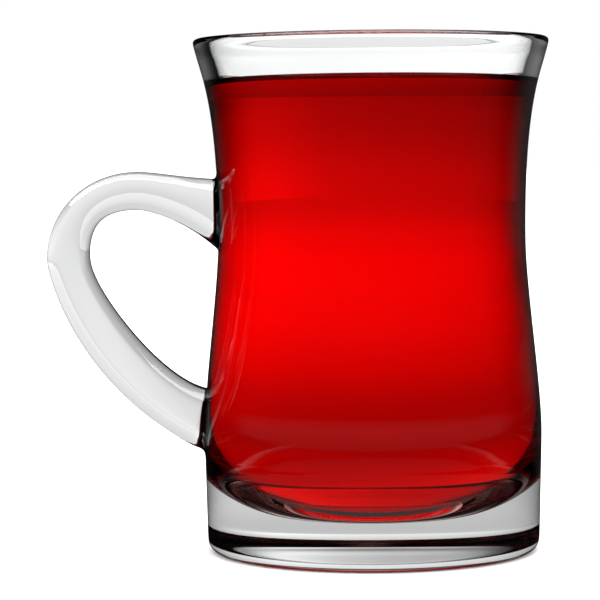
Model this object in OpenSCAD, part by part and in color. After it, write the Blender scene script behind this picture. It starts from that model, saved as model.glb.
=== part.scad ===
// Waisted tea glass with a handle, filled with tea almost to the brim.
// The glass stands on its foot ring: +Z is up, the origin is on the table under the axis,
// and the handle points along -X. All sizes are in millimetres.

/* [Glass body] */
// Height of the glass, from the table to the top of the lip
glass_h = 95; // [94:0.5:100]
// Outer radius of the lip, where the glass is widest
lip_r = 33; // [32:0.25:34]
// Outer radius of the waist
waist_r = 28.5; // [27.5:0.1:29]
// Height of the waist
waist_z = 58; // [56:0.5:60]
// Outer radius of the belly
belly_r = 31.4; // [30.5:0.1:32]
// Height of the belly
belly_z = 22; // [20:0.5:25]
// Outer radius just above the heel
heel_r = 30.9; // [30:0.1:31.5]
// Radius of the rounding at the heel
heel_round = 2.2; // [1.5:0.1:3]

/* [Walls] */
// Wall thickness at the lip
lip_wall = 3; // [2.6:0.1:3.6]
// Wall thickness at the waist
waist_wall = 3.6; // [3:0.1:4]
// Wall thickness at the belly
belly_wall = 4; // [3.4:0.1:4.6]
// Height of the floor of the cup
floor_z = 7.2; // [6:0.2:10]
// Radius of the flat part of that floor
cup_floor_r = 9; // [6:0.5:12]
// Height where the bowl-shaped bottom has opened out to the full width of the cup
cup_belly_z = 28; // [26:0.5:34]

/* [Foot] */
// Width of the flat ring that the glass stands on
foot_ring_w = 3; // [2:0.25:4]
// Depth of the hollow under the glass
punt_depth = 1.2; // [0.6:0.1:2]

/* [Tea] */
// Height of the tea's surface
tea_z = 87; // [70:1:89]

/* [Handle] */
// Distance from the axis to the outside of the handle
handle_reach = 60.3; // [57:0.1:63]
// Height of the handle's highest point
handle_top_z = 70.7; // [69:0.1:72]
// Thickness of the handle at its highest point
handle_top_t = 7.1; // [6:0.1:8]
// Thickness of the handle where the fingers hold it
handle_grip_t = 7.8; // [7:0.1:8.5]
// Width of the handle across the hand
handle_w = 10; // [8:0.5:12]
// Squareness of the handle's section: 2 is an ellipse
handle_square = 4; // [2:0.1:5]

/* [Hidden] */
$fn = 96;

// Points along one curve between two knots
curve_steps = 14;
// Points along a quarter of a rounding
round_steps = 6;

// Sides of the handle's section, and its rings between two knots
handle_sides = 24;
handle_steps = 14;
// How far the handle's ends are sunk into the wall
handle_sink = 1.3;

// A knot is [x, z, heading in degrees, pull before it, pull after it]:
// the curve passes through it along its heading, and a longer pull holds it straighter.
body_knots = [
    [belly_r, belly_z, 90, 0, 8.4],
    [waist_r, waist_z, 90, 8.4, 10],
    [lip_r, glass_h - 1.8, 66, 10.5, 0],
];
cup_knots = [
    [cup_floor_r, floor_z, 0, 0, 9],
    [belly_r - belly_wall, cup_belly_z, 90, 11, 8.4],
    [waist_r - waist_wall, waist_z, 90, 8.4, 10],
    [lip_r - lip_wall, glass_h - 1.8, 66, 10.5, 0],
];

// Centre line of the lip's rounded top, and the flat left between its two roundings
lip_round = 0.9;
lip_mid_r = lip_r - lip_wall / 2;
lip_flat = lip_wall / 2 - lip_round;

// Inner radius of the foot ring
ring_outer_r = heel_r - heel_round;
ring_inner_r = ring_outer_r - foot_ring_w;

handle_foot_x = belly_r - handle_sink - 0.4;
handle_head_x = waist_r - handle_sink;
outer_knots = [
    [-handle_head_x, handle_top_z - 1.5, 180, 0, 6],
    [-43.4, handle_top_z, 180, 3, 10],
    [-handle_reach, 54.3, 270, 9.1, 1],
    [-handle_foot_x, 17.8, 335, 29.2, 0],
];
inner_knots = [
    [-handle_head_x, 54.6, 131, 0, 9.7],
    [-43.1, handle_top_z - handle_top_t, 180, 0.8, 7.2],
    [handle_grip_t - handle_reach, 54.6, 270, 6.2, 5.2],
    [-handle_foot_x, 30.1, 359, 8.6, 0],
];

function heading(angle) = [cos(angle), sin(angle)];
function knot_at(knot) = [knot[0], knot[1]];

// A point on the smooth curve from one knot to the next, for t from 0 to 1
function bend(a, b, t) =
    let (start = knot_at(a),
         leave = start + a[4] * heading(a[2]),
         finish = knot_at(b),
         arrive = finish - b[3] * heading(b[2]),
         s = 1 - t)
    s * s * s * start + 3 * s * s * t * leave + 3 * s * t * t * arrive + t * t * t * finish;

// All points of the curve through a list of knots
function bends(knots, steps) = [
    for (i = [0 : len(knots) - 2])
        for (j = [(i == 0 ? 0 : 1) : steps])
            bend(knots[i], knots[i + 1], j / steps)
];

// Points of an arc about a centre
function arc(centre, radius, from, to, steps) = [
    for (i = [0 : steps])
        centre + radius * heading(from + (to - from) * i / steps)
];

// Points of the curve that lie below a height, and the point where it crosses that height
function below(points, z) = [for (p = points) if (p[1] < z) p];
function crossing(points, z) =
    let (i = len(below(points, z)),
         p = points[i - 1],
         q = points[i])
    p + (q - p) * (z - p[1]) / (q[1] - p[1]);

// The hollow underneath, as a shallow arc from the axis to the foot ring
punt_r = (ring_inner_r * ring_inner_r + punt_depth * punt_depth) / (2 * punt_depth);
punt_angle = asin(ring_inner_r / punt_r);
punt_line = arc([0, punt_depth - punt_r], punt_r, 90, 90 - punt_angle, round_steps);

heel_line = arc([ring_outer_r, heel_round], heel_round, 270, 360, round_steps);
body_line = bends(body_knots, curve_steps);
lip_line = concat(
    arc([lip_mid_r + lip_flat, glass_h - lip_round], lip_round, 20, 90, round_steps),
    arc([lip_mid_r - lip_flat, glass_h - lip_round], lip_round, 90, 160, round_steps)
);

// The cup's inside: flat floor, bowl and wall
cup_line = concat([[0, floor_z]], bends(cup_knots, curve_steps));

function reversed(points) = [for (i = [len(points) - 1 : -1 : 0]) points[i]];

module cup_wall() {
    rotate_extrude()
        polygon(concat(punt_line, heel_line, body_line, lip_line, reversed(cup_line)));
}

// Signed power, which squares off a circle into a rounded rectangle
function squared(value) = sign(value) * pow(abs(value), 2 / handle_square);

outer_line = bends(outer_knots, handle_steps);
inner_line = bends(inner_knots, handle_steps);
ring_count = len(outer_line);

function handle_ring(i) =
    let (middle = (outer_line[i] + inner_line[i]) / 2,
         half = (outer_line[i] - inner_line[i]) / 2)
    [for (k = [0 : handle_sides - 1])
        let (turn = 360 * k / handle_sides,
             p = middle + half * squared(cos(turn)))
        [p[0], handle_w / 2 * squared(sin(turn)), p[1]]];

module handle() {
    points = [for (i = [0 : ring_count - 1]) each handle_ring(i)];
    skin = [
        for (i = [0 : ring_count - 2])
            for (k = [0 : handle_sides - 1])
                let (a = i * handle_sides + k,
                     b = i * handle_sides + (k + 1) % handle_sides,
                     c = a + handle_sides,
                     d = b + handle_sides)
                each [[a, c, b], [b, c, d]]
    ];
    head_end = [for (k = [0 : handle_sides - 1]) k];
    last_ring = (ring_count - 1) * handle_sides;
    foot_end = [for (k = [handle_sides - 1 : -1 : 0]) last_ring + k];
    polyhedron(points, concat(skin, [head_end, foot_end]));
}

module glass() {
    color([0.88, 0.94, 0.93, 0.45])
        union() {
            cup_wall();
            handle();
        }
}

module tea() {
    color([0.62, 0.02, 0.01])
        rotate_extrude()
            polygon(concat(below(cup_line, tea_z), [crossing(cup_line, tea_z), [0, tea_z]]));
}

glass();
tea();
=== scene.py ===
"""Looks of the handled tea glass: one moulded piece of clear glass, and the red tea in it."""

import math

import bmesh
import bpy
import numpy as np
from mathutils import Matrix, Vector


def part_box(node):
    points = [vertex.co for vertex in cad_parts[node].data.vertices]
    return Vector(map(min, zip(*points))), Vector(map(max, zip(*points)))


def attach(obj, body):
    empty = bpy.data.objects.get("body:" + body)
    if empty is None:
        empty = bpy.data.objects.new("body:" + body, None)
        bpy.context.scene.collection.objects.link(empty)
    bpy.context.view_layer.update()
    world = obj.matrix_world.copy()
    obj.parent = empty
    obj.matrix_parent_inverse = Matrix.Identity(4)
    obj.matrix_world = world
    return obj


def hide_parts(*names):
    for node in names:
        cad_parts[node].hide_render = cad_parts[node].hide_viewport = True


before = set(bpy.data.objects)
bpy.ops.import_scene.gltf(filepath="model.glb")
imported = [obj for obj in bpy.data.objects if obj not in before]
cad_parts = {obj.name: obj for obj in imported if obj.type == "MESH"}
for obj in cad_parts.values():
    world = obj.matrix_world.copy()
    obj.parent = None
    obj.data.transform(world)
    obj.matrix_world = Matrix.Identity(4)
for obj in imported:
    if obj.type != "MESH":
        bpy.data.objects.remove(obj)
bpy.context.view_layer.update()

# ---------------------------------------------------------------- sizes, in metres

MM = 0.001
glass_low, glass_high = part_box("glass")
tea_low, tea_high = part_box("tea")

# The lip's cage is a little larger than the lip itself, and stays inside the box
LIP_R = glass_high[0] - 0.07 * MM
GLASS_H = glass_high[2]
HANDLE_REACH = -glass_low[0]
TEA_Z = tea_high[2]
FLOOR_Z = tea_low[2]

WAIST_R, WAIST_Z = 28.5 * MM, 58 * MM
BELLY_R, BELLY_Z = 31.4 * MM, 22 * MM
HEEL_R, HEEL_ROUND = 30.9 * MM, 2.2 * MM
LIP_WALL, WAIST_WALL, BELLY_WALL = 3 * MM, 3.6 * MM, 4 * MM
CUP_FLOOR_R, CUP_BELLY_Z = 9 * MM, 28 * MM
LIP_ROUND = 0.9 * MM
LIP_DROP = 1.8 * MM

# The flat ring that the glass stands on, and the shallow hollow inside it
FOOT_RING_W = 3 * MM
PUNT_DEPTH = 1.2 * MM
RING_OUTER = HEEL_R - HEEL_ROUND
RING_INNER = RING_OUTER - FOOT_RING_W
RING_EASE = 0.8 * MM
RING_EDGE_Z = 0.12 * MM
PUNT_BALL = (RING_INNER ** 2 + PUNT_DEPTH ** 2) / (2 * PUNT_DEPTH)

HANDLE_TOP_Z = 70.7 * MM
HANDLE_TOP_T = 7.1 * MM
HANDLE_GRIP_T = 7.8 * MM
HANDLE_W = 10 * MM
HANDLE_SQUARE = 4
HANDLE_SINK = 1.3 * MM
# The handle starts this far out from the wall, and its outline on the wall is this much larger
HANDLE_ROOT = 0.6 * MM
ROOT_GAIN = 1.1
# Rings of the handle: some close to each end, and the others evenly along the rest
HANDLE_RINGS = 34
END_RINGS = [0, 0.7 * MM, 1.8 * MM]
END_LENGTH = 4 * MM

# Cage of the glass: columns around the axis, and the patches that the handle grows from
COLUMNS = 60
PATCH_HALF = 2
PATCH_ROWS = 5
HEAD_PATCH = (55.4 * MM, 71.4 * MM)
FOOT_PATCH = (17.0 * MM, 32.0 * MM)
# Rows of that cage below, between and above the patches, and in its roundings
SIDE_START = 4.5 * MM
ROWS_BELOW, ROWS_BETWEEN, ROWS_ABOVE = 4, 8, 8
PUNT_ROWS, HEEL_ROWS, LIP_ROWS = 4, 4, 3
SMOOTHING = 2
CAP_R = 9 * MM

# Points of a smooth curve between two knots
CURVE_STEPS = 60
HANDLE_STEPS = 200
# The cup's rows start at its top, and then take one point of its curve in so many
CUP_TOP = GLASS_H - 3.2 * MM
CUP_TOP_GAP = 1 * MM
CUP_STRIDE = 5

# The tea reaches this far into the wall, and climbs it a little at its edge
TEA_OVERLAP = 0.12 * MM
MENISCUS_RISE = 1.0 * MM
MENISCUS_W = 2.2 * MM
MENISCUS_ROWS = (0, 0.3, 0.5, 0.7, 0.85, 1)
SURFACE_ROWS = 4


# ---------------------------------------------------------------- curves

def heading(angle):
    """Unit vector at an angle in degrees."""
    return np.array([math.cos(math.radians(angle)), math.sin(math.radians(angle))])


def bend(a, b, t):
    """Point on the smooth curve between two knots (x, z, heading, pull before, pull after)."""
    start = np.array(a[:2])
    finish = np.array(b[:2])
    leave = start + a[4] * heading(a[2])
    arrive = finish - b[3] * heading(b[2])
    s = 1 - t
    return s ** 3 * start + 3 * s * s * t * leave + 3 * s * t * t * arrive + t ** 3 * finish


def bends(knots, steps):
    """All the points of the curve through a list of knots."""
    points = []
    for a, b in zip(knots, knots[1:]):
        first = 0 if not points else 1
        points += [bend(a, b, i / steps) for i in range(first, steps + 1)]
    return np.array(points)


def arc(centre, radius, start, end, steps):
    """Points of an arc from one angle to another, in degrees."""
    turns = [start + (end - start) * i / steps for i in range(steps + 1)]
    return [np.array(centre) + radius * heading(turn) for turn in turns]


def radius_at(curve, z):
    """Radius of a rising curve at a height."""
    return float(np.interp(z, curve[:, 1], curve[:, 0]))


BODY_KNOTS = [
    (BELLY_R, BELLY_Z, 90, 0, 8.4 * MM),
    (WAIST_R, WAIST_Z, 90, 8.4 * MM, 10 * MM),
    (LIP_R, GLASS_H - LIP_DROP, 66, 10.5 * MM, 0),
]
CUP_KNOTS = [
    (CUP_FLOOR_R, FLOOR_Z, 0, 0, 9 * MM),
    (BELLY_R - BELLY_WALL, CUP_BELLY_Z, 90, 11 * MM, 8.4 * MM),
    (WAIST_R - WAIST_WALL, WAIST_Z, 90, 8.4 * MM, 10 * MM),
    (LIP_R - LIP_WALL, GLASS_H - LIP_DROP, 66, 10.5 * MM, 0),
]
HEEL_TOP = (HEEL_R, HEEL_ROUND)
body_curve = np.vstack([[HEEL_TOP], bends(BODY_KNOTS, CURVE_STEPS)])
cup_curve = bends(CUP_KNOTS, CURVE_STEPS)


def spaced(low, high, count):
    """Heights between two levels, the last one left out."""
    return [low + (high - low) * i / count for i in range(count)]


def body_rows():
    """Outside of the glass from the heel to the lip; both patches of the handle fall on rows."""
    heights = spaced(SIDE_START, FOOT_PATCH[0], ROWS_BELOW)
    heights += spaced(*FOOT_PATCH, PATCH_ROWS)
    heights += spaced(FOOT_PATCH[1], HEAD_PATCH[0], ROWS_BETWEEN)
    heights += spaced(*HEAD_PATCH, PATCH_ROWS)
    heights += spaced(HEAD_PATCH[1], GLASS_H - LIP_DROP, ROWS_ABOVE)
    return [(radius_at(body_curve, z), z) for z in heights]


def foot_rows():
    """Underside from the cap in the middle, over the foot ring, round the heel."""
    rows = [(r, punt_height(r)) for r in np.linspace(CAP_R, RING_INNER - RING_EASE, PUNT_ROWS)]
    rows += [(RING_INNER, RING_EDGE_Z), (RING_INNER + RING_EASE, 0), (RING_OUTER - RING_EASE, 0)]
    rows += [tuple(p) for p in arc((RING_OUTER, HEEL_ROUND), HEEL_ROUND, 270, 360, HEEL_ROWS)]
    return rows


def punt_height(r):
    """Height of the shallow hollow under the glass."""
    return PUNT_DEPTH - PUNT_BALL + math.sqrt(PUNT_BALL ** 2 - min(r, RING_INNER) ** 2)


def lip_rows():
    """The rounded top of the wall, from outside to inside."""
    middle = LIP_R - LIP_WALL / 2
    flat = LIP_WALL / 2 - LIP_ROUND
    z = GLASS_H - LIP_ROUND
    outer = arc((middle + flat, z), LIP_ROUND, 0, 90, LIP_ROWS)
    inner = arc((middle - flat, z), LIP_ROUND, 90, 180, LIP_ROWS)
    return [tuple(p) for p in outer + inner]


def cup_rows(top):
    """Inside of the cup from a height down to the edge of its flat floor."""
    rows = [(radius_at(cup_curve, top), top)]
    rows += [tuple(p) for p in cup_curve[::-1][::CUP_STRIDE] if p[1] < top - CUP_TOP_GAP]
    return rows


# ---------------------------------------------------------------- meshes

# A smoothed ring of columns ends up a little inside its cage, so the cage is drawn larger
RING_GAIN = 3 / (2 + math.cos(2 * math.pi / COLUMNS))


def ring(bm, radius, z):
    """One ring of cage points, counted from the handle's side towards +Y."""
    turns = [2 * math.pi * j / COLUMNS for j in range(COLUMNS)]
    r = radius * RING_GAIN
    return [bm.verts.new((-r * math.cos(a), r * math.sin(a), z)) for a in turns]


def skin_rings(bm, rings, skip=()):
    """Faces between neighbouring rings; skip holds (row, column) pairs that stay open."""
    for row, (a, b) in enumerate(zip(rings, rings[1:])):
        for j in range(COLUMNS):
            if (row, j) not in skip:
                k = (j + 1) % COLUMNS
                bm.faces.new((a[j], b[j], b[k], a[k]))


def round_cap(bm, edge, height, flip):
    """Closes a ring with a square grid bent to a disc; height gives its level at each radius."""
    side = COLUMNS // 4
    tiny = 1e-9
    radius = math.hypot(edge[0].co.x, edge[0].co.y)
    grid = {}
    for i in range(side + 1):
        for j in range(side + 1):
            u, v = 2 * i / side - 1, 2 * j / side - 1
            reach = max(abs(u), abs(v))
            if reach < tiny:
                angle = 0
            elif abs(u) >= abs(v):
                angle = math.pi / 4 * v / u + (math.pi if u < 0 else 0)
            else:
                angle = math.pi / 2 - math.pi / 4 * u / v + (math.pi if v < 0 else 0)
            if reach > 1 - tiny:
                turn = round((angle - math.pi / 4) / (2 * math.pi) * COLUMNS)
                grid[i, j] = edge[turn % COLUMNS]
            else:
                r = radius * reach
                a = angle - math.pi / 4
                grid[i, j] = bm.verts.new((-r * math.cos(a), r * math.sin(a), height(r)))
    for i in range(side):
        for j in range(side):
            quad = [grid[i, j], grid[i + 1, j], grid[i + 1, j + 1], grid[i, j + 1]]
            bm.faces.new(quad[::-1] if flip else quad)


def finish_piece(bm, name, smoothing):
    """Turns a cage into a smooth closed object."""
    bmesh.ops.recalc_face_normals(bm, faces=bm.faces)
    mesh = bpy.data.meshes.new(name)
    bm.to_mesh(mesh)
    bm.free()
    for face in mesh.polygons:
        face.use_smooth = True
    piece = bpy.data.objects.new(name, mesh)
    bpy.context.collection.objects.link(piece)
    subdivide = piece.modifiers.new("smooth", "SUBSURF")
    subdivide.levels = smoothing
    subdivide.render_levels = smoothing
    return piece


# ---------------------------------------------------------------- the handle

HEAD_X = WAIST_R - HANDLE_SINK
FOOT_X = BELLY_R - HANDLE_SINK - 0.4 * MM
OUTER_KNOTS = [
    (-HEAD_X, HANDLE_TOP_Z - 1.5 * MM, 180, 0, 6 * MM),
    (-43.4 * MM, HANDLE_TOP_Z, 180, 3 * MM, 10 * MM),
    (-HANDLE_REACH, 54.3 * MM, 270, 9.1 * MM, 1 * MM),
    (-FOOT_X, 17.8 * MM, 335, 29.2 * MM, 0),
]
INNER_KNOTS = [
    (-HEAD_X, 54.6 * MM, 131, 0, 9.7 * MM),
    (-43.1 * MM, HANDLE_TOP_Z - HANDLE_TOP_T, 180, 0.8 * MM, 7.2 * MM),
    (HANDLE_GRIP_T - HANDLE_REACH, 54.6 * MM, 270, 6.2 * MM, 5.2 * MM),
    (-FOOT_X, 30.1 * MM, 359, 8.6 * MM, 0),
]
# Places around the handle's section: the corners of a patch meet the corners of the section
SECTION_TURNS = [
    0, 22, 45, 63, 81, 99, 117, 135, 158, 180, 202, 225, 243, 261, 279, 297, 315, 338,
]


def cage_for(points):
    """Cage of a closed curve that passes through the points once it is smoothed."""
    count = len(points)
    blend = np.zeros((count, count))
    for i in range(count):
        blend[i, i] = 4 / 6
        blend[i, (i + 1) % count] = 1 / 6
        blend[i, i - 1] = 1 / 6
    return np.linalg.solve(blend, points)


def handle_section():
    """The handle's section, 1 wide and 1 thick on each side of its middle, as cage points."""
    power = 2 / HANDLE_SQUARE
    points = []
    for turn in SECTION_TURNS:
        c, s = heading(turn)
        points.append((math.copysign(abs(c) ** power, c), math.copysign(abs(s) ** power, s)))
    return cage_for(np.array(points))


def handle_stations():
    """Pairs of an outer and an inner point along the handle, closer together next to the wall."""
    outer = bends(OUTER_KNOTS, HANDLE_STEPS)
    inner = bends(INNER_KNOTS, HANDLE_STEPS)
    middle = (outer + inner) / 2
    walls = np.array([radius_at(body_curve, z) for z in middle[:, 1]])
    free = np.where(-middle[:, 0] > walls + HANDLE_ROOT)[0]
    length = np.concatenate([[0], np.cumsum(np.hypot(*np.diff(middle, axis=0).T))])
    first, last = length[free[0]], length[free[-1]]
    stops = [first + gap for gap in END_RINGS]
    stops += list(np.linspace(first + END_LENGTH, last - END_LENGTH, HANDLE_RINGS))
    stops += [last - gap for gap in reversed(END_RINGS)]
    for stop in stops:
        place = np.interp(stop, length, np.arange(len(length)))
        low = min(int(place), len(outer) - 2)
        part = place - low
        yield (
            outer[low] * (1 - part) + outer[low + 1] * part,
            inner[low] * (1 - part) + inner[low + 1] * part,
        )


def handle_rings(bm):
    """Cage rings of the handle, from its head to its foot."""
    section = handle_section()
    rings = []
    for outer, inner in handle_stations():
        middle, half = (outer + inner) / 2, (outer - inner) / 2
        loop = []
        for thick, wide in section:
            x, z = middle + half * thick
            loop.append(bm.verts.new((x, HANDLE_W / 2 * wide, z)))
        rings.append(loop)
    return rings


def wall_loop(bm, loop):
    """The outline of a handle's end laid on the wall, a little larger; the joint stays crisp."""
    middle_z = sum(v.co.z for v in loop) / len(loop)
    laid = []
    for v in loop:
        y, z = ROOT_GAIN * v.co.y, middle_z + ROOT_GAIN * (v.co.z - middle_z)
        r = radius_at(body_curve, z) * RING_GAIN
        laid.append(bm.verts.new((-math.sqrt(r * r - y * y), y, z)))
    return laid


def patch_edge(rings, first, down):
    """Cage points round a patch, from the middle of its outer edge towards +Y."""
    last = first + PATCH_ROWS
    outer, inner = (last, first) if down else (first, last)
    step = -1 if down else 1
    edge = [(outer, c) for c in range(0, PATCH_HALF + 1)]
    edge += [(r, PATCH_HALF) for r in range(outer + step, inner, step)]
    edge += [(inner, c) for c in range(PATCH_HALF, -PATCH_HALF - 1, -1)]
    edge += [(r, -PATCH_HALF) for r in range(inner - step, outer, -step)]
    edge += [(outer, c) for c in range(-PATCH_HALF, 0)]
    return [rings[r][c] for r, c in edge]


def bridge(bm, a, b):
    """Faces between two loops of as many points."""
    for k in range(len(a)):
        n = (k + 1) % len(a)
        bm.faces.new((a[k], b[k], b[n], a[n]))


# ---------------------------------------------------------------- pieces

def make_glass():
    """The whole glass as one closed skin, with the handle grown out of two patches of its side."""
    bm = bmesh.new()
    under = foot_rows()
    rings = [ring(bm, r, z) for r, z in under + body_rows() + lip_rows() + cup_rows(CUP_TOP)]
    foot_first = len(under) + ROWS_BELOW
    head_first = foot_first + PATCH_ROWS + ROWS_BETWEEN
    opened = set()
    for first in (foot_first, head_first):
        for row in range(first, first + PATCH_ROWS):
            opened |= {(row, c % COLUMNS) for c in range(-PATCH_HALF, PATCH_HALF)}
        for row in range(first + 1, first + PATCH_ROWS):
            for column in range(1 - PATCH_HALF, PATCH_HALF):
                bm.verts.remove(rings[row][column])
    skin_rings(bm, rings, opened)
    round_cap(bm, rings[0], punt_height, True)
    round_cap(bm, rings[-1], lambda r: FLOOR_Z, False)
    handle = handle_rings(bm)
    loops = [patch_edge(rings, head_first, True), wall_loop(bm, handle[0])] + handle
    loops += [wall_loop(bm, handle[-1]), patch_edge(rings, foot_first, False)]
    for a, b in zip(loops, loops[1:]):
        bridge(bm, a, b)
    return finish_piece(bm, "moulded_glass", SMOOTHING)


def pushed_out(rows, depth):
    """Rows moved along their own normals, into the glass."""
    points = np.array(rows)
    along = np.gradient(points, axis=0)
    along /= np.hypot(*along.T)[:, None]
    return points + depth * np.column_stack([-along[:, 1], along[:, 0]])


def make_tea():
    """The tea: its still surface with a curved-up edge, and a side that reaches just into the wall."""
    bm = bmesh.new()
    edge_z = TEA_Z + MENISCUS_RISE
    edge_r = radius_at(cup_curve, edge_z)
    surface = [(r, TEA_Z) for r in np.linspace(CAP_R, edge_r - 2 * MENISCUS_W, SURFACE_ROWS)]
    for share in MENISCUS_ROWS:
        surface.append((edge_r - MENISCUS_W * (1 - share), TEA_Z + MENISCUS_RISE * share ** 3))
    side = pushed_out(cup_rows(edge_z), TEA_OVERLAP)
    rings = [ring(bm, r, z) for r, z in surface + [tuple(p) for p in side]]
    skin_rings(bm, rings)
    round_cap(bm, rings[0], lambda r: TEA_Z, False)
    round_cap(bm, rings[-1], lambda r: FLOOR_Z - TEA_OVERLAP, True)
    return finish_piece(bm, "red_tea", SMOOTHING)


# ---------------------------------------------------------------- finishes

RIPPLE_DEPTH = 0.2 * MM
TEA_COLOUR = (0.996, 0.02, 0.005, 1)
TEA_STRENGTH = 1200


def uneven_group():
    """Shader group: slow waves over a surface, as a colour, a roughness and a height."""
    group = bpy.data.node_groups.new("uneven_surface", "ShaderNodeTree")
    face = group.interface
    for name, kind, value in (
        ("Scale", "NodeSocketFloat", 40.0),
        ("Light", "NodeSocketColor", (1, 1, 1, 1)),
        ("Dark", "NodeSocketColor", (0.9, 0.9, 0.9, 1)),
        ("Smoothest", "NodeSocketFloat", 0.0),
        ("Roughest", "NodeSocketFloat", 0.02),
    ):
        socket = face.new_socket(name, in_out="INPUT", socket_type=kind)
        socket.default_value = value
    for name, kind in (
        ("Color", "NodeSocketColor"),
        ("Roughness", "NodeSocketFloat"),
        ("Height", "NodeSocketFloat"),
    ):
        face.new_socket(name, in_out="OUTPUT", socket_type=kind)
    nodes, links = group.nodes, group.links
    given = nodes.new("NodeGroupInput")
    result = nodes.new("NodeGroupOutput")
    place = nodes.new("ShaderNodeTexCoord")
    waves = nodes.new("ShaderNodeTexNoise")
    waves.inputs["Detail"].default_value = 2.0
    links.new(place.outputs["Object"], waves.inputs["Vector"])
    links.new(given.outputs["Scale"], waves.inputs["Scale"])
    tint = nodes.new("ShaderNodeMix")
    tint.data_type = "RGBA"
    links.new(waves.outputs["Fac"], tint.inputs["Factor"])
    links.new(given.outputs["Light"], tint.inputs["A"])
    links.new(given.outputs["Dark"], tint.inputs["B"])
    sheen = nodes.new("ShaderNodeMapRange")
    links.new(waves.outputs["Fac"], sheen.inputs["Value"])
    links.new(given.outputs["Smoothest"], sheen.inputs["To Min"])
    links.new(given.outputs["Roughest"], sheen.inputs["To Max"])
    links.new(tint.outputs["Result"], result.inputs["Color"])
    links.new(sheen.outputs["Result"], result.inputs["Roughness"])
    links.new(waves.outputs["Fac"], result.inputs["Height"])
    return group


def clear_material(name, group, ior, bump, **uneven_values):
    """A clear body with slow unevenness in its colour, roughness and bump."""
    material = bpy.data.materials.new(name)
    material.use_nodes = True
    nodes, links = material.node_tree.nodes, material.node_tree.links
    shader = nodes["Principled BSDF"]
    shader.inputs["IOR"].default_value = ior
    shader.inputs["Metallic"].default_value = 0.0
    shader.inputs["Transmission Weight"].default_value = 1.0
    uneven = nodes.new("ShaderNodeGroup")
    uneven.node_tree = group
    for socket, value in uneven_values.items():
        uneven.inputs[socket].default_value = value
    links.new(uneven.outputs["Color"], shader.inputs["Base Color"])
    links.new(uneven.outputs["Roughness"], shader.inputs["Roughness"])
    ripple = nodes.new("ShaderNodeBump")
    ripple.inputs["Strength"].default_value = bump
    ripple.inputs["Distance"].default_value = RIPPLE_DEPTH
    links.new(uneven.outputs["Height"], ripple.inputs["Height"])
    links.new(ripple.outputs["Normal"], shader.inputs["Normal"])
    return material


def glass_material(group):
    """Colourless polished glass."""
    return clear_material(
        "clear_glass", group, ior=1.5, bump=0.02,
        Scale=35.0, Light=(1, 1, 1, 1), Dark=(0.97, 0.985, 0.98, 1), Smoothest=0.0, Roughest=0.004,
    )


def tea_material(group):
    """Clear liquid that takes out all colours but red."""
    material = clear_material(
        "tea", group, ior=1.333, bump=0.01,
        Scale=20.0, Light=(1, 0.96, 0.94, 1), Dark=(1, 0.93, 0.9, 1), Smoothest=0.0, Roughest=0.002,
    )
    nodes, links = material.node_tree.nodes, material.node_tree.links
    stain = nodes.new("ShaderNodeVolumeAbsorption")
    stain.inputs["Color"].default_value = TEA_COLOUR
    stain.inputs["Density"].default_value = TEA_STRENGTH
    links.new(stain.outputs["Volume"], nodes["Material Output"].inputs["Volume"])
    return material


# ---------------------------------------------------------------- studio

# The floor and the wall are white to the eye. Seen through the glass, or mirrored in it, they are
# graded: pale behind the glass, with dark flags on both sides, which are dark bands in the wall's light
# and painted shade in the floor's painted glow, not objects. Bearings are in degrees to the right of
# straight behind the glass, and each stop is (bearing, brightness).
WALL_LIGHT = [
    (-180, 0.9), (-120, 0.85), (-92, 0.75), (-80, 0.4), (-68, 0.06), (-53, 0.05), (-46, 0.1),
    (-38, 0.32), (-28, 0.57), (-18, 0.72), (-8, 0.82), (1, 0.9), (10, 1.05), (20, 1.32), (28, 1.25),
    (37, 0.8), (45, 0.5), (55, 0.25), (68, 0.08), (80, 0.4), (92, 0.75), (120, 0.85), (180, 0.9),
]
FAR_TABLE_LIGHT = [
    (-180, 0.9), (-120, 0.85), (-92, 0.75), (-80, 0.4), (-68, 0.06), (-53, 0.05), (-46, 0.08),
    (-38, 0.16), (-33, 0.32), (-28, 0.5), (-18, 0.7), (-8, 0.82), (1, 0.9), (10, 0.95), (22, 1.0),
    (34, 0.8), (43, 0.6), (55, 0.3), (68, 0.08), (80, 0.4), (92, 0.75), (120, 0.85), (180, 0.9),
]
NEAR_TABLE_LIGHT = [
    (-180, 0.9), (-92, 0.75), (-80, 0.4), (-68, 0.1), (-53, 0.12), (-40, 0.28), (-32, 0.47),
    (-25, 0.68), (-18, 0.8), (-8, 0.85), (1, 0.9), (10, 1.0), (22, 1.22), (34, 1.22), (43, 0.9),
    (55, 0.35), (68, 0.1), (80, 0.4), (92, 0.75), (180, 0.9),
]
# Distances from the axis over which the near table passes into the far one
NEAR_TO_FAR = (0.2, 0.36)
# Brightness of the wall by degrees above the horizon
HEIGHT_LIGHT = [
    (-30, 1.2), (-3, 1.1), (0, 1.0), (1.2, 0.93), (2.9, 0.79), (5, 0.67), (9, 0.57), (14, 0.4),
    (60, 0.5),
]
# Brightness of the table's painted glow by metres from the axis: a painted shadow close up, but not
# through the tea
AWAY_LIGHT = [
    (0.11, 0.57), (0.15, 0.68), (0.176, 0.82), (0.2, 1.0), (0.237, 1.15), (0.283, 1.36), (0.34, 1.5),
    (0.5, 1.62), (1.0, 1.5), (2.4, 1.28), (4.0, 1.12), (8.0, 1.04), (20.0, 1.0),
]
TABLE_LIGHT = [(0.0, 0.12), (0.03, 0.12), (0.05, 0.55)] + AWAY_LIGHT
TEA_TABLE_LIGHT = [(0.0, 1.0), (0.025, 1.0), (0.045, 0.58)] + AWAY_LIGHT

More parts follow.
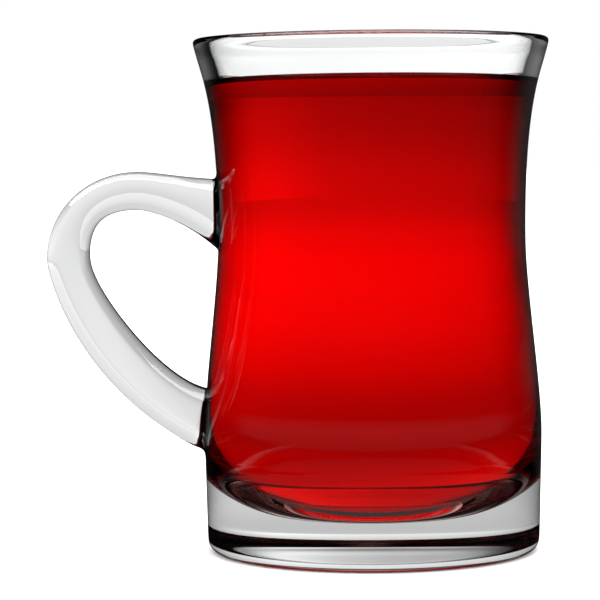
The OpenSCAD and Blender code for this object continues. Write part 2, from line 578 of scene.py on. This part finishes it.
# Share of all that left after a reflection inside the glass: by bearing, by degrees above the horizon
# for glass and for tea, and on the table for glass and for tea
MIRRORED_ROUND = [
    (-180, 0.02), (-85, 0.03), (-60, 0.05), (-36, 0.3), (-20, 0.85), (0, 1.0), (20, 1.0), (40, 0.75),
    (60, 0.2), (85, 0.03), (180, 0.02),
]
GLASS_MIRRORED = [
    (-90, 0.1), (4, 0.1), (8, 0.7), (10, 1.35), (14, 1.5), (21, 1.5), (26, 0.2), (90, 0.1),
]
TEA_MIRRORED = [(-90, 0.4), (2, 0.4), (6, 1.0), (20, 2.0), (90, 2.0)]
TABLE_MIRRORED = (0.15, 0.4)
# The table next to the glass keeps its own share, up to the first of these distances
CLOSE_MIRRORED = 0.35
CLOSE_TO_OPEN = (0.06, 0.1)
# Tells a count of none from a count of one or more
NONE_OR_ONE = 0.5
# More than this many reflections count as many, and leave this share again
MANY_MIRRORINGS = 2.5
MIRRORED_OFTEN = 0.8
# Share of the studio that shows in reflections straight off the outside
GLOSS_LIGHT = 0.02

# A strip of light overhead, which only the outside of the glass mirrors: brightness at its near and
# far side, how high up it starts, and how far back it passes from the one to the other
OVERHEAD_LIGHT = (8.0, 0.5)
OVERHEAD_START = 0.6
OVERHEAD_SIDES = (0.15, 0.4)
# Light that the white floor itself receives
FLOOR_FILL = 1.9

# Surfaces that light has crossed: more than the first number means that it has been through the
# tea, fewer through clear glass only, and fewer than the second through one wall or the handle
TEA_CROSSINGS = 4.5
WALL_CROSSINGS = 2.5
# Straight through clear glass the studio is evened out: this much even light, and this share of it
TABLE_EVEN = (0.42, 0.36)
WALL_EVEN = (0.6, 0.4)
RIM_EVEN = (0.66, 0.6)

FLOOR_SIZE = 40
FLOOR_COLOUR = (0.95, 0.95, 0.95, 1)
# A ramp's colours end at 1, so it stores brightness divided by this
RAMP_RANGE = 2.0

LAMP_SIZE = 1.2
LAMP_POWER = 10.0
LAMP_PLACE = (0, 0.3, 1.3)
LAMP_LEAN = -13

LENS = 156
EYE_PLACE = (-13.4 * MM, -483 * MM, 72.4 * MM)
EYE_DOWN = 3.06
EYE_TURN = -0.47

MOST_BOUNCES = 24
MOST_MIRRORINGS = 12
BRIGHTEST_BOUNCE = 6


def feed(links, socket, value):
    """Sets a socket to a number, or links another node's result to it."""
    if isinstance(value, (int, float)):
        socket.default_value = value
    else:
        links.new(value, socket)


def math_node(nodes, links, operation, *values):
    """Result of one sum on numbers or on other nodes' results."""
    node = nodes.new("ShaderNodeMath")
    node.operation = operation
    for i, value in enumerate(values):
        feed(links, node.inputs[i], value)
    return node.outputs[0]


def mix_value(nodes, links, share, a, b):
    """a where the share is 0, and b where it is 1."""
    node = nodes.new("ShaderNodeMix")
    node.data_type = "FLOAT"
    for name, value in (("Factor", share), ("A", a), ("B", b)):
        feed(links, node.inputs[name], value)
    return node.outputs["Result"]


def stretch(nodes, links, value, low, high):
    """0 below a level, 1 above another, and even in between."""
    node = nodes.new("ShaderNodeMapRange")
    node.inputs["From Min"].default_value = low
    node.inputs["From Max"].default_value = high
    links.new(value, node.inputs["Value"])
    return node.outputs["Result"]


def ramp_node(nodes, links, value, stops):
    """Smooth brightness along a value, from (value, brightness) stops."""
    low, high = stops[0][0], stops[-1][0]
    ramp = nodes.new("ShaderNodeValToRGB")
    ramp.color_ramp.interpolation = "CARDINAL"
    marks = ramp.color_ramp.elements
    while len(marks) < len(stops):
        marks.new(0.5)
    for mark, (at, light) in zip(marks, stops):
        mark.position = (at - low) / (high - low)
        mark.color = (light / RAMP_RANGE, light / RAMP_RANGE, light / RAMP_RANGE, 1)
    links.new(stretch(nodes, links, value, low, high), ramp.inputs["Fac"])
    return math_node(nodes, links, "MULTIPLY", ramp.outputs["Color"], RAMP_RANGE)


def round_light(nodes, links, vector, stops):
    """Brightness by the bearing of a direction or place; also gives its X, Y and Z, and the bearing."""
    split = nodes.new("ShaderNodeSeparateXYZ")
    links.new(vector, split.inputs[0])
    bearing = math_node(nodes, links, "ARCTAN2", split.outputs["X"], split.outputs["Y"])
    degrees = math_node(nodes, links, "MULTIPLY", bearing, 180 / math.pi)
    return ramp_node(nodes, links, degrees, stops), split, degrees


def tea_passed(nodes, links, path):
    """1 for a ray that has been through the tea: it has crossed more surfaces than clear glass has."""
    return math_node(nodes, links, "GREATER_THAN", path.outputs["Transmission Depth"], TEA_CROSSINGS)


def mirror_share(nodes, links, path, mirrored):
    """How much of the studio a ray brings: less once mirrored, little straight off the outside."""
    mirrorings = path.outputs["Glossy Depth"]
    once = math_node(nodes, links, "GREATER_THAN", mirrorings, NONE_OR_ONE)
    often = math_node(nodes, links, "GREATER_THAN", mirrorings, MANY_MIRRORINGS)
    again = mix_value(nodes, links, often, 1.0, MIRRORED_OFTEN)
    share = mix_value(nodes, links, once, 1.0, math_node(nodes, links, "MULTIPLY", mirrored, again))
    return mix_value(nodes, links, path.outputs["Is Reflection Ray"], share, GLOSS_LIGHT)


def evened(nodes, links, path, light, one_wall):
    """Evened light for a ray straight through the empty rim, or through one wall or the handle."""
    straight = math_node(nodes, links, "LESS_THAN", path.outputs["Glossy Depth"], NONE_OR_ONE)
    result = light
    for crossings, (even, share) in ((TEA_CROSSINGS, RIM_EVEN), (WALL_CROSSINGS, one_wall)):
        few = math_node(nodes, links, "LESS_THAN", path.outputs["Transmission Depth"], crossings)
        applies = math_node(nodes, links, "MULTIPLY", few, straight)
        soft = math_node(nodes, links, "MULTIPLY_ADD", light, share, even)
        result = mix_value(nodes, links, applies, result, soft)
    return result


def studio_world():
    """The wall round the table, and the light overhead."""
    world = bpy.data.worlds.new("studio")
    world.use_nodes = True
    nodes, links = world.node_tree.nodes, world.node_tree.links
    place = nodes.new("ShaderNodeTexCoord")
    light, split, degrees = round_light(nodes, links, place.outputs["Generated"], WALL_LIGHT)
    lift = math_node(nodes, links, "ARCSINE", split.outputs["Z"])
    lift = math_node(nodes, links, "MULTIPLY", lift, 180 / math.pi)
    light = math_node(nodes, links, "MULTIPLY", light, ramp_node(nodes, links, lift, HEIGHT_LIGHT))
    path = nodes.new("ShaderNodeLightPath")
    tea = tea_passed(nodes, links, path)
    by_glass = ramp_node(nodes, links, lift, GLASS_MIRRORED)
    by_tea = ramp_node(nodes, links, lift, TEA_MIRRORED)
    mirrored = mix_value(nodes, links, tea, by_glass, by_tea)
    by_bearing = ramp_node(nodes, links, degrees, MIRRORED_ROUND)
    mirrored = math_node(nodes, links, "MULTIPLY", mirrored, by_bearing)
    light = math_node(nodes, links, "MULTIPLY", light, mirror_share(nodes, links, path, mirrored))
    light = evened(nodes, links, path, light, WALL_EVEN)
    above = math_node(nodes, links, "GREATER_THAN", split.outputs["Z"], OVERHEAD_START)
    outside = math_node(nodes, links, "LESS_THAN", path.outputs["Transmission Depth"], NONE_OR_ONE)
    above = math_node(nodes, links, "MULTIPLY", above, path.outputs["Is Reflection Ray"])
    above = math_node(nodes, links, "MULTIPLY", above, outside)
    back = stretch(nodes, links, split.outputs["Y"], *OVERHEAD_SIDES)
    overhead = mix_value(nodes, links, back, *OVERHEAD_LIGHT)
    light = mix_value(nodes, links, above, light, overhead)
    light = mix_value(nodes, links, path.outputs["Is Diffuse Ray"], light, FLOOR_FILL)
    light = mix_value(nodes, links, path.outputs["Is Camera Ray"], light, 1.0)
    links.new(light, nodes["Background"].inputs["Strength"])
    nodes["Background"].inputs["Color"].default_value = (1, 1, 1, 1)
    bpy.context.scene.world = world


def pale_floor_with_painted_glow():
    """The white table under the glass; seen through or mirrored in the glass, it glows with painted
    light and painted shadow instead.
    """
    bpy.ops.mesh.primitive_plane_add(size=FLOOR_SIZE, location=(0, 0, 0))
    floor = bpy.context.object
    floor.name = "floor"
    material = bpy.data.materials.new("floor_paper_and_painted_light")
    material.use_nodes = True
    nodes, links = material.node_tree.nodes, material.node_tree.links
    shader = nodes["Principled BSDF"]
    shader.inputs["Base Color"].default_value = FLOOR_COLOUR
    shader.inputs["Roughness"].default_value = 0.9
    shader.inputs["Specular IOR Level"].default_value = 0.0
    place = nodes.new("ShaderNodeTexCoord")
    far, _, degrees = round_light(nodes, links, place.outputs["Object"], FAR_TABLE_LIGHT)
    near = ramp_node(nodes, links, degrees, NEAR_TABLE_LIGHT)
    reach = nodes.new("ShaderNodeVectorMath")
    reach.operation = "LENGTH"
    links.new(place.outputs["Object"], reach.inputs[0])
    away = reach.outputs["Value"]
    light = mix_value(nodes, links, stretch(nodes, links, away, *NEAR_TO_FAR), near, far)
    path = nodes.new("ShaderNodeLightPath")
    tea = tea_passed(nodes, links, path)
    by_distance = ramp_node(nodes, links, away, TABLE_LIGHT)
    by_tea_distance = ramp_node(nodes, links, away, TEA_TABLE_LIGHT)
    by_distance = mix_value(nodes, links, tea, by_distance, by_tea_distance)
    light = math_node(nodes, links, "MULTIPLY", light, by_distance)
    by_bearing = ramp_node(nodes, links, degrees, MIRRORED_ROUND)
    mirrored = mix_value(nodes, links, tea, *TABLE_MIRRORED)
    mirrored = math_node(nodes, links, "MULTIPLY", mirrored, by_bearing)
    open_table = stretch(nodes, links, away, *CLOSE_TO_OPEN)
    mirrored = mix_value(nodes, links, open_table, CLOSE_MIRRORED, mirrored)
    light = math_node(nodes, links, "MULTIPLY", light, mirror_share(nodes, links, path, mirrored))
    light = evened(nodes, links, path, light, TABLE_EVEN)
    # Painted light: where the glass shows or mirrors the floor, the floor glows with this graded light,
    # with a painted shadow close under the glass
    glow = nodes.new("ShaderNodeEmission")
    links.new(light, glow.inputs["Strength"])
    seen = nodes.new("ShaderNodeMixShader")
    mirrored_ray = path.outputs["Is Reflection Ray"]
    through_ray = path.outputs["Is Transmission Ray"]
    by_way_of_glass = math_node(nodes, links, "MAXIMUM", mirrored_ray, through_ray)
    links.new(by_way_of_glass, seen.inputs["Fac"])
    links.new(shader.outputs["BSDF"], seen.inputs[1])
    links.new(glow.outputs["Emission"], seen.inputs[2])
    links.new(seen.outputs["Shader"], nodes["Material Output"].inputs["Surface"])
    floor.data.materials.append(material)


def soft_lamp():
    """One wide soft light overhead, a little behind the glass, which no glass mirrors or shows."""
    data = bpy.data.lights.new("overhead", "AREA")
    data.shape = "DISK"
    data.size = LAMP_SIZE
    data.energy = LAMP_POWER
    lamp = bpy.data.objects.new("overhead", data)
    bpy.context.collection.objects.link(lamp)
    lamp.location = LAMP_PLACE
    lamp.rotation_euler = (math.radians(LAMP_LEAN), 0, 0)
    lamp.visible_glossy = False
    lamp.visible_transmission = False


def camera():
    """Long lens in front of the glass, a little to the handle's side and looking slightly down."""
    data = bpy.data.cameras.new("camera")
    data.lens = LENS
    eye = bpy.data.objects.new("camera", data)
    bpy.context.collection.objects.link(eye)
    eye.location = EYE_PLACE
    eye.rotation_mode = "ZYX"
    eye.rotation_euler = (math.radians(90 - EYE_DOWN), 0, math.radians(EYE_TURN))
    bpy.context.scene.camera = eye


# ---------------------------------------------------------------- putting it together

glass = make_glass()
tea = make_tea()
group = uneven_group()
glass.data.materials.append(glass_material(group))
tea.data.materials.append(tea_material(group))

for piece, node, slot in ((glass, "glass", "clear_glass"), (tea, "tea", "tea")):
    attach(piece, "root")
    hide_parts(node)

studio_world()
pale_floor_with_painted_glow()
soft_lamp()
camera()
scene = bpy.context.scene
scene.view_settings.view_transform = "Standard"
scene.cycles.max_bounces = MOST_BOUNCES
scene.cycles.transmission_bounces = MOST_BOUNCES
scene.cycles.glossy_bounces = MOST_MIRRORINGS
scene.cycles.sample_clamp_indirect = BRIGHTEST_BOUNCE
